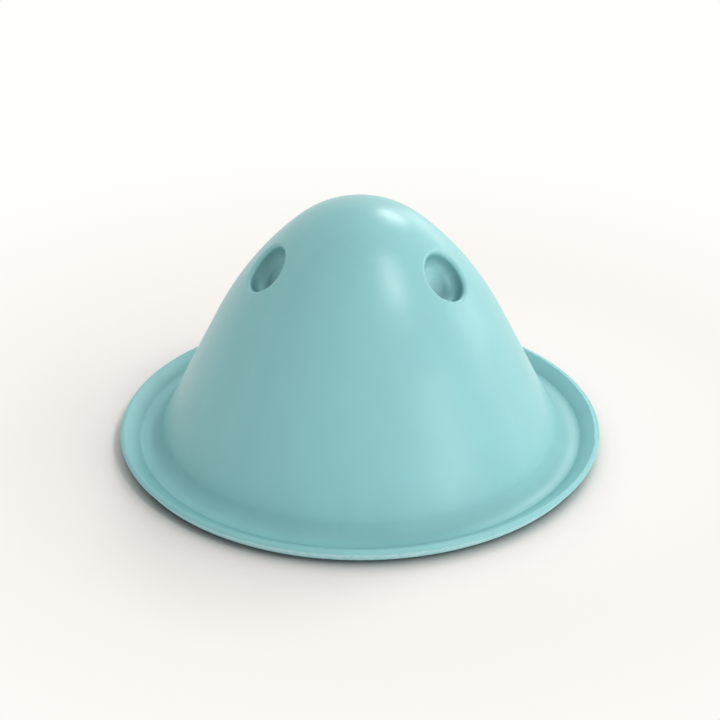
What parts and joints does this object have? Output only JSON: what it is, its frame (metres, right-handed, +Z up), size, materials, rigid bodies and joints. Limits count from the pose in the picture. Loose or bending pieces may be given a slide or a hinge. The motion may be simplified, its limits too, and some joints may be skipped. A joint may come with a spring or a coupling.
{
  "type": "rocking play shell",
  "caption": "Round moulded plastic dome, open below, with an upturned rim and a dished hand recess on each side of its front.",
  "frame": {"origin": "centre of the flat land under the rim, which rests on the floor", "axes": "+Z up the dome's axis to the crown, -Y the front, midway between the two recesses"},
  "size_m": [0.39, 0.39, 0.206],
  "materials": {
    "shell_plastic": "satin moulded polyethylene, self-coloured"
  },
  "bodies": {
    "root": {"shell": "shell_plastic"}
  },
  "joints": []
}
